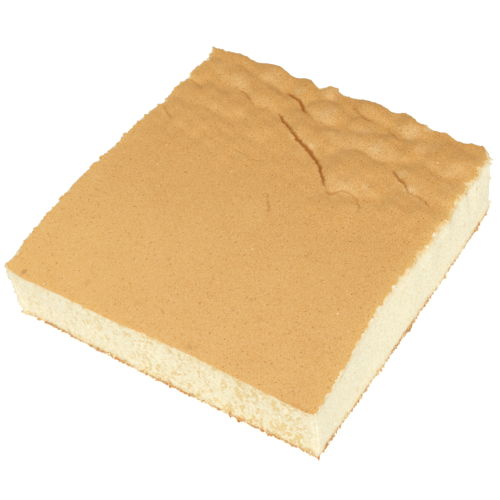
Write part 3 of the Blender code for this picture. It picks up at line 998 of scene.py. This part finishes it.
def pinhole_group(name, dimensions):
    """1 in scattered round dots, 0 elsewhere: near a cell's point, in some cells.
    In 2D the cells ignore height, which suits a level surface."""
    sockets = [("Scale", 250.0), ("Radius", 0.12), ("Share", 0.5)]
    group, given, result = new_group(name, sockets, "Dots")
    place = add_node(group, "TexCoord").outputs["Object"]
    cells = add_node(group, "TexVoronoi", {"Vector": place, "Scale": given.outputs["Scale"]},
                     voronoi_dimensions=dimensions)
    near = add_node(group, "MapRange", {"Value": cells.outputs["Distance"], "From Min": 0.0,
                                        "From Max": given.outputs["Radius"],
                                        "To Min": 1.0, "To Max": 0.0},
                    interpolation_type="SMOOTHSTEP")
    pick = add_node(group, "Math", {0: cells.outputs["Color"], 1: given.outputs["Share"]},
                    operation="LESS_THAN")
    both = add_node(group, "Math", {0: near.outputs["Result"], 1: pick.outputs[0]},
                    operation="MULTIPLY")
    group.links.new(both.outputs[0], result.inputs["Dots"])
    return group


FINE_GRAIN = grain_group()
PINHOLES, BUBBLES = pinhole_group("pinholes", "2D"), pinhole_group("bubbles", "3D")
print("node groups:", FINE_GRAIN.name, PINHOLES.name, BUBBLES.name)

# %% [markdown]
# ## A recipe for a material
#
# Each finish starts from one shader and a plain colour, and then tints that
# colour step by step, much as a cook browns and dusts a cake. The nodes could
# be placed one by one in the editor, but a small class with a method for each
# kind of step keeps the recipes short enough to read.

# %% Material helpers
class Recipe:
    """A material under construction, with short ways to add nodes."""

    def __init__(self, name, roughness, shine):
        self.material = bpy.data.materials.new(name)
        self.material.use_nodes = True
        self.tree = self.material.node_tree
        self.shader = self.tree.nodes["Principled BSDF"]
        self.shader.inputs["Roughness"].default_value = roughness
        self.shader.inputs["Specular IOR Level"].default_value = shine

    def node(self, kind, inputs=None, **settings):
        """A new node in this material."""
        return add_node(self.tree, kind, inputs, **settings)

    def group(self, tree, **sizes):
        """The output of a shared effect, with sizes of its own."""
        sizes = {label.replace("_", " "): size for label, size in sizes.items()}
        return self.node("Group", sizes, node_tree=tree).outputs[0]

    def attribute(self, label):
        """A value that the mesh carries."""
        return self.node("Attribute", attribute_name=label).outputs["Fac"]

    def ramp(self, value, low, high, to_low=0.0, to_high=1.0):
        """The value rescaled from low..high to to_low..to_high, and held there."""
        return self.node("MapRange", {"Value": value, "From Min": low, "From Max": high,
                                      "To Min": to_low, "To Max": to_high}).outputs["Result"]

    def noise(self, scale, detail):
        """Soft clouds, `scale` of them to the metre."""
        place = self.node("TexCoord").outputs["Object"]
        inputs = {"Vector": place, "Scale": scale, "Detail": detail}
        return self.node("TexNoise", inputs).outputs["Fac"]

    def times(self, first, second):
        """One value multiplied by another."""
        return self.node("Math", {0: first, 1: second}, operation="MULTIPLY").outputs[0]

    def mix(self, amount, first, second):
        """Blend of two colours, each a node's output or red, green and blue."""
        first, second = ((*colour, 1.0) if isinstance(colour, tuple) else colour
                         for colour in (first, second))
        return self.node("Mix", {0: amount, 6: first, 7: second}, data_type="RGBA").outputs[2]

    def tint(self, colour, value, low, high, most, toward):
        """The colour moved to another by 0 at low, and by `most` at high."""
        return self.mix(self.ramp(value, low, high, 0.0, most), colour, toward)

    def bump(self, height, strength, distance, under=None):
        """Relief from a height of up to `distance` metres, over another's."""
        return self.node("Bump", {"Height": height, "Strength": strength, "Distance": distance,
                                  "Normal": under}).outputs["Normal"]

    def finished(self, colour, normal):
        """The material, once its shader has its colour and its relief."""
        self.tree.links.new(colour, self.shader.inputs["Base Color"])
        self.tree.links.new(normal, self.shader.inputs["Normal"])
        print("material:", self.material.name, "with", len(self.tree.nodes), "nodes")
        return self.material

# %% [markdown]
# ## Golden skin
#
# The skin is an even golden tan, a little deeper towards the folds. It has a
# fine leathery grain, tiny dark pinholes, a few pale specks and some brown
# spots. Creases are much browner, partly as painted shade in their hollows,
# and along the cut edge a band a few millimetres wide is yellower, where less
# of the browning is left. A painted picture could hold all this, but tints
# laid one over another by rule stay sharp from close by.

# %% Baked colour
def baked_colour(recipe, place_x, place_y, back):
    """Golden tan in front and browner at the back, with painted light on the
    front left corner, soft clouds, painted light and shade on the slopes of the
    folds, and browner and paler patches that are partly painted shade and light."""
    colour = recipe.mix(back, (0.718, 0.433, 0.146), (0.585, 0.276, 0.049))
    # painted light: the front left corner is made lighter, as if more light falls there
    left = recipe.ramp(place_x, 0.0, -0.07)
    corner = recipe.times(left, recipe.ramp(place_y, -0.02, -0.08, 0.1, 0.9))
    colour = recipe.mix(corner, colour, (0.760, 0.468, 0.148))
    colour = recipe.tint(colour, recipe.noise(55.0, 4.0), 0.35, 0.7, 0.25, (0.64, 0.345, 0.098))
    slope_light_and_shade, tone_and_shade = recipe.attribute("slope_light_and_shade"), recipe.attribute("tone_and_shade")
    # painted light and shade: slopes rising to the back face the lamp and are painted paler, slopes
    # falling to the back are painted browner
    colour = recipe.tint(colour, slope_light_and_shade, 0.05, 0.5, 0.5, (0.72, 0.49, 0.185))
    colour = recipe.tint(colour, slope_light_and_shade, -0.05, -0.5, 0.45, (0.59, 0.275, 0.055))
    # browner and paler patches, partly real tone and partly painted shade and light of shallow
    # folds
    colour = recipe.tint(colour, tone_and_shade, 0.0, 1.0, 0.5, (0.55, 0.255, 0.052))
    colour = recipe.tint(colour, tone_and_shade, 0.0, -1.0, 0.5, (0.80, 0.55, 0.215))
    colour = recipe.tint(colour, recipe.attribute("edge"), 0.1, 0.8, 0.8, (0.735, 0.445, 0.130))
    tip = recipe.times(recipe.ramp(place_x, 0.060, 0.092),
                       recipe.ramp(place_y, -0.0885, -0.0920, 0.0, 0.9))
    return recipe.mix(tip, colour, (0.60, 0.320, 0.080))


def grained_colour(recipe, colour, grainy, back):
    """Painted highlights on the lit pillow fronts, speckled by the grain, scorched
    places, and then the grain itself: peaks darker, pits paler, each by its own
    colour at the back."""
    speckled = recipe.ramp(grainy, 0.60, 0.36, 0.25, 1.0)
    # painted highlight on the lit pillow fronts, broken up by the grain
    painted_highlight = recipe.ramp(recipe.attribute("painted_highlight"), 0.05, 0.8, 0.0, 0.8)
    colour = recipe.mix(recipe.times(painted_highlight, speckled), colour, (0.82, 0.64, 0.34))
    scorched = recipe.attribute("scorched")
    colour = recipe.tint(colour, scorched, 0.05, 0.8, 0.85, (0.46, 0.175, 0.025))
    darker = recipe.mix(back, (0.645, 0.225, 0.006), (0.44, 0.147, 0.006))
    paler = recipe.mix(back, (0.77, 0.625, 0.36), (0.75, 0.55, 0.27))
    colour = recipe.tint(colour, grainy, 0.49, 0.67, 1.0, darker)
    return recipe.tint(colour, grainy, 0.49, 0.31, 1.0, paler)


print("tints of the skin come from:", [label.name for label in skin.data.attributes
                                       if label.data_type == "FLOAT"])

# %% Skin material
def skin_material():
    """The baked colour, the grain, four sizes of dots, and the creases, the
    worn fringe and the crumb under the rim over them."""
    recipe = Recipe("golden_skin", 0.62, 0.25)
    axes = recipe.node("SeparateXYZ", {0: recipe.node("TexCoord").outputs["Object"]})
    back = recipe.ramp(axes.outputs["Y"], -0.09, 0.09)
    grainy = recipe.group(FINE_GRAIN, Scale=3500.0, Share_of_coarse=0.0)
    colour = baked_colour(recipe, axes.outputs["X"], axes.outputs["Y"], back)
    colour = grained_colour(recipe, colour, grainy, back)
    dots = recipe.group(PINHOLES, Scale=150.0, Radius=0.060, Share=0.50)
    faint = recipe.group(PINHOLES, Scale=260.0, Radius=0.14, Share=0.45)
    spots = recipe.group(PINHOLES, Scale=37.0, Radius=0.045, Share=0.25)
    flecks = recipe.group(PINHOLES, Scale=75.0, Radius=0.036, Share=0.16)
    colour = recipe.tint(colour, faint, 0.0, 0.6, 0.50, (0.44, 0.16, 0.025))
    colour = recipe.tint(colour, dots, 0.0, 0.45, 1.0, (0.38, 0.088, 0.004))
    colour = recipe.tint(colour, spots, 0.0, 1.0, 0.5, (0.42, 0.18, 0.045))
    colour = recipe.tint(colour, flecks, 0.0, 0.6, 0.9, (0.92, 0.82, 0.56))
    # creases: browner skin, with painted shade in their hollows as well
    colour = recipe.tint(colour, recipe.attribute("crease"), 0.06, 0.85, 0.95, (0.37, 0.118, 0.012))
    colour = recipe.tint(colour, recipe.attribute("fringe"), 0.1, 0.9, 0.8, (0.77, 0.60, 0.28))
    colour = recipe.tint(colour, recipe.attribute("lower"), 0.3, 0.8, 1.0, (0.86, 0.70, 0.38))
    holes = recipe.ramp(dots, 0.0, 1.0, 1.0, 0.0)
    normal = recipe.bump(holes, 0.2, 0.0004, recipe.bump(grainy, 0.18, 0.0006))
    return recipe.finished(colour, normal)


skin.data.materials.append(skin_material())

# %% [markdown]
# ## Cream crumb
#
# Sponge crumb is pale cream and lets light in, so a little of it scatters
# under the surface. The pores are ochre inside, since light that gets into a
# bubble bounces off more cake before it comes out. Scattering alone could do
# that, but slowly, so the colour of the pores is given to them here.

# %% Crumb material
def crumb_material():
    """Cream with ochre grain, pores, rind and two sizes of bubbles, and light
    that scatters within about a millimetre."""
    recipe = Recipe("cream_crumb", 0.85, 0.15)
    grainy = recipe.group(FINE_GRAIN, Scale=1700.0, Share_of_coarse=0.3)
    dots = recipe.group(BUBBLES, Scale=520.0, Radius=0.22, Share=0.5)
    spots = recipe.group(BUBBLES, Scale=150.0, Radius=0.12, Share=0.16)
    colour = recipe.tint((0.873, 0.833, 0.662), grainy, 0.46, 0.62, 1.0, (0.79, 0.66, 0.36))
    colour = recipe.tint(colour, recipe.attribute("pore"), 0.08, 0.8, 0.85, (0.76, 0.565, 0.235))
    colour = recipe.tint(colour, recipe.attribute("rind"), 0.05, 0.9, 0.85, (0.74, 0.50, 0.18))
    colour = recipe.tint(colour, dots, 0.0, 1.0, 0.35, (0.80, 0.63, 0.30))
    colour = recipe.tint(colour, spots, 0.0, 0.8, 0.5, (0.76, 0.53, 0.19))
    holes = recipe.ramp(dots, 0.0, 1.0, 1.0, 0.0)
    normal = recipe.bump(holes, 0.5, 0.0006, recipe.bump(grainy, 0.6, 0.0010))
    recipe.shader.inputs["Subsurface Weight"].default_value = 0.2
    recipe.shader.inputs["Subsurface Radius"].default_value = (1.0, 0.8, 0.5)
    recipe.shader.inputs["Subsurface Scale"].default_value = 0.0012
    return recipe.finished(colour, normal)


crumb_look = crumb_material()
for crumb in crumbs:
    crumb.data.materials.append(crumb_look)

# %% [markdown]
# ## Browned underside
#
# The skin underneath is toffee brown, uneven, and paler where it is thin. Its
# thickness isn't modelled, so clouds of noise stand in for it.

# %% Base material
def base_material():
    """Toffee brown with pale clouds, and darker grain over both."""
    recipe = Recipe("toffee_base", 0.75, 0.25)
    grainy = recipe.group(FINE_GRAIN, Scale=1300.0, Share_of_coarse=0.4)
    pale = recipe.noise(260.0, 3.0)
    colour = recipe.tint((0.62, 0.295, 0.066), pale, 0.48, 0.66, 1.0, (0.85, 0.66, 0.32))
    colour = recipe.tint(colour, grainy, 0.45, 0.7, 0.6, (0.40, 0.15, 0.025))
    return recipe.finished(colour, recipe.bump(grainy, 0.5, 0.0006))


base.data.materials.append(base_material())

# %% [markdown]
# ## Loose crumbs
#
# A crumb is cream where it comes from the inside and brown where it comes from
# the baked skin, so its colour runs between the two by the value it carries.
# That way one material serves for a thousand crumbs.

# %% Crumb bit material
def bit_material():
    """From cream to brown by the crumb's own value, with ochre grain."""
    recipe = Recipe("loose_crumb", 0.85, 0.2)
    grainy = recipe.group(FINE_GRAIN, Scale=1700.0, Share_of_coarse=0.3)
    brown = recipe.attribute("brown")
    colour = recipe.tint((0.84, 0.74, 0.48), brown, 0.15, 0.85, 1.0, (0.57, 0.255, 0.050))
    colour = recipe.tint(colour, grainy, 0.48, 0.64, 0.5, (0.70, 0.42, 0.12))
    return recipe.finished(colour, recipe.bump(grainy, 0.5, 0.0005))


bits.data.materials.append(bit_material())

# %% [markdown]
# ## Table and light
#
# The slab lies on a plain white table. An even white sky gives most of the
# light, and one large soft lamp, in front and to the right, shapes the folds.
# A picture of a room could light it too, but an even sky keeps the white
# table clean.

# %% Table
TABLE_REACH = 4                  # metres from the middle of the table to each edge


def build_table():
    """A white floor, far larger than the view."""
    mesh = bpy.data.meshes.new("table")
    corners = [(x * TABLE_REACH, y * TABLE_REACH, 0) for x, y in CORNERS]
    mesh.from_pydata(corners, [], [(0, 1, 2, 3)])
    table = new_object("table", mesh)
    recipe = Recipe("white_table", 0.9, 0.1)
    recipe.shader.inputs["Base Color"].default_value = (0.97, 0.97, 0.97, 1.0)
    mesh.materials.append(recipe.material)


build_table()
print("table:", 2 * TABLE_REACH, "m wide")

# %% Light
LAMP_PLACE, LAMP_AIM = (2.16, -2.57, 4.97), (0, 0, 0.02)  # metres
LAMP_SIZE, LAMP_POWER = 1.4, 260.0                        # metres and watts
SKY_STRENGTH = 0.52


def soft_lamp(name, place, aim, size, power):
    """A square lamp of the given size that looks at a point."""
    light = bpy.data.lights.new(name, "AREA")
    light.shape, light.size, light.energy = "SQUARE", size, power
    lamp = new_object(name, light)
    lamp.location = place
    lamp.rotation_euler = (Vector(aim) - Vector(place)).to_track_quat("-Z", "Y").to_euler()


soft_lamp("key", LAMP_PLACE, LAMP_AIM, LAMP_SIZE, LAMP_POWER)
world = bpy.data.worlds.new("studio")
world.use_nodes = True
sky = world.node_tree.nodes["Background"]
sky.inputs["Color"].default_value = (1.0, 1.0, 1.0, 1.0)
sky.inputs["Strength"].default_value = SKY_STRENGTH
bpy.context.scene.world = world
bpy.context.scene.view_settings.view_transform = "Standard"
print("lamp:", LAMP_POWER, "W, sky:", SKY_STRENGTH)

# %% [markdown]
# ## Camera
#
# The camera looks down on the front right corner, held a little askew. It
# could be aimed with a constraint, but three angles and a distance say the
# same and can be read off: a turn round the slab, a height angle, and a roll.

# %% Camera
CAMERA_AIM = (3.3, -11.5, 20.0)  # mm, measured like the outline
CAMERA_AWAY = 580.5              # mm from there
CAMERA_TURN, CAMERA_RISE, CAMERA_ROLL = 40.02, 49.15, -8.79  # degrees
SENSOR, FOCAL = 36.0, 1127.0 / 500.0  # mm, and how many sensor widths the lens is long


def build_camera():
    """A camera at an azimuth, a height angle and a roll round its own axis."""
    turn, rise, roll = np.radians([CAMERA_TURN, CAMERA_RISE, CAMERA_ROLL])
    back = Vector((np.sin(turn) * np.cos(rise), -np.cos(turn) * np.cos(rise), np.sin(rise)))
    right = (-back).cross(Vector((0, 0, 1))).normalized()
    up = right.cross(-back)
    rolled_right = right * np.cos(roll) + up * np.sin(roll)
    rolled_up = -right * np.sin(roll) + up * np.cos(roll)
    aim = (Vector(CAMERA_AIM) - Vector((*MIDDLE, 0.0))) * MM
    matrix = Matrix((rolled_right, rolled_up, back)).transposed().to_4x4()
    matrix.translation = aim + back * CAMERA_AWAY * MM
    lens = bpy.data.cameras.new("camera")
    lens.lens, lens.sensor_width = SENSOR * FOCAL, SENSOR
    camera = new_object("camera", lens)
    camera.matrix_world = matrix
    bpy.context.scene.camera = camera
    print("lens in mm:", round(lens.lens, 1))


build_camera()
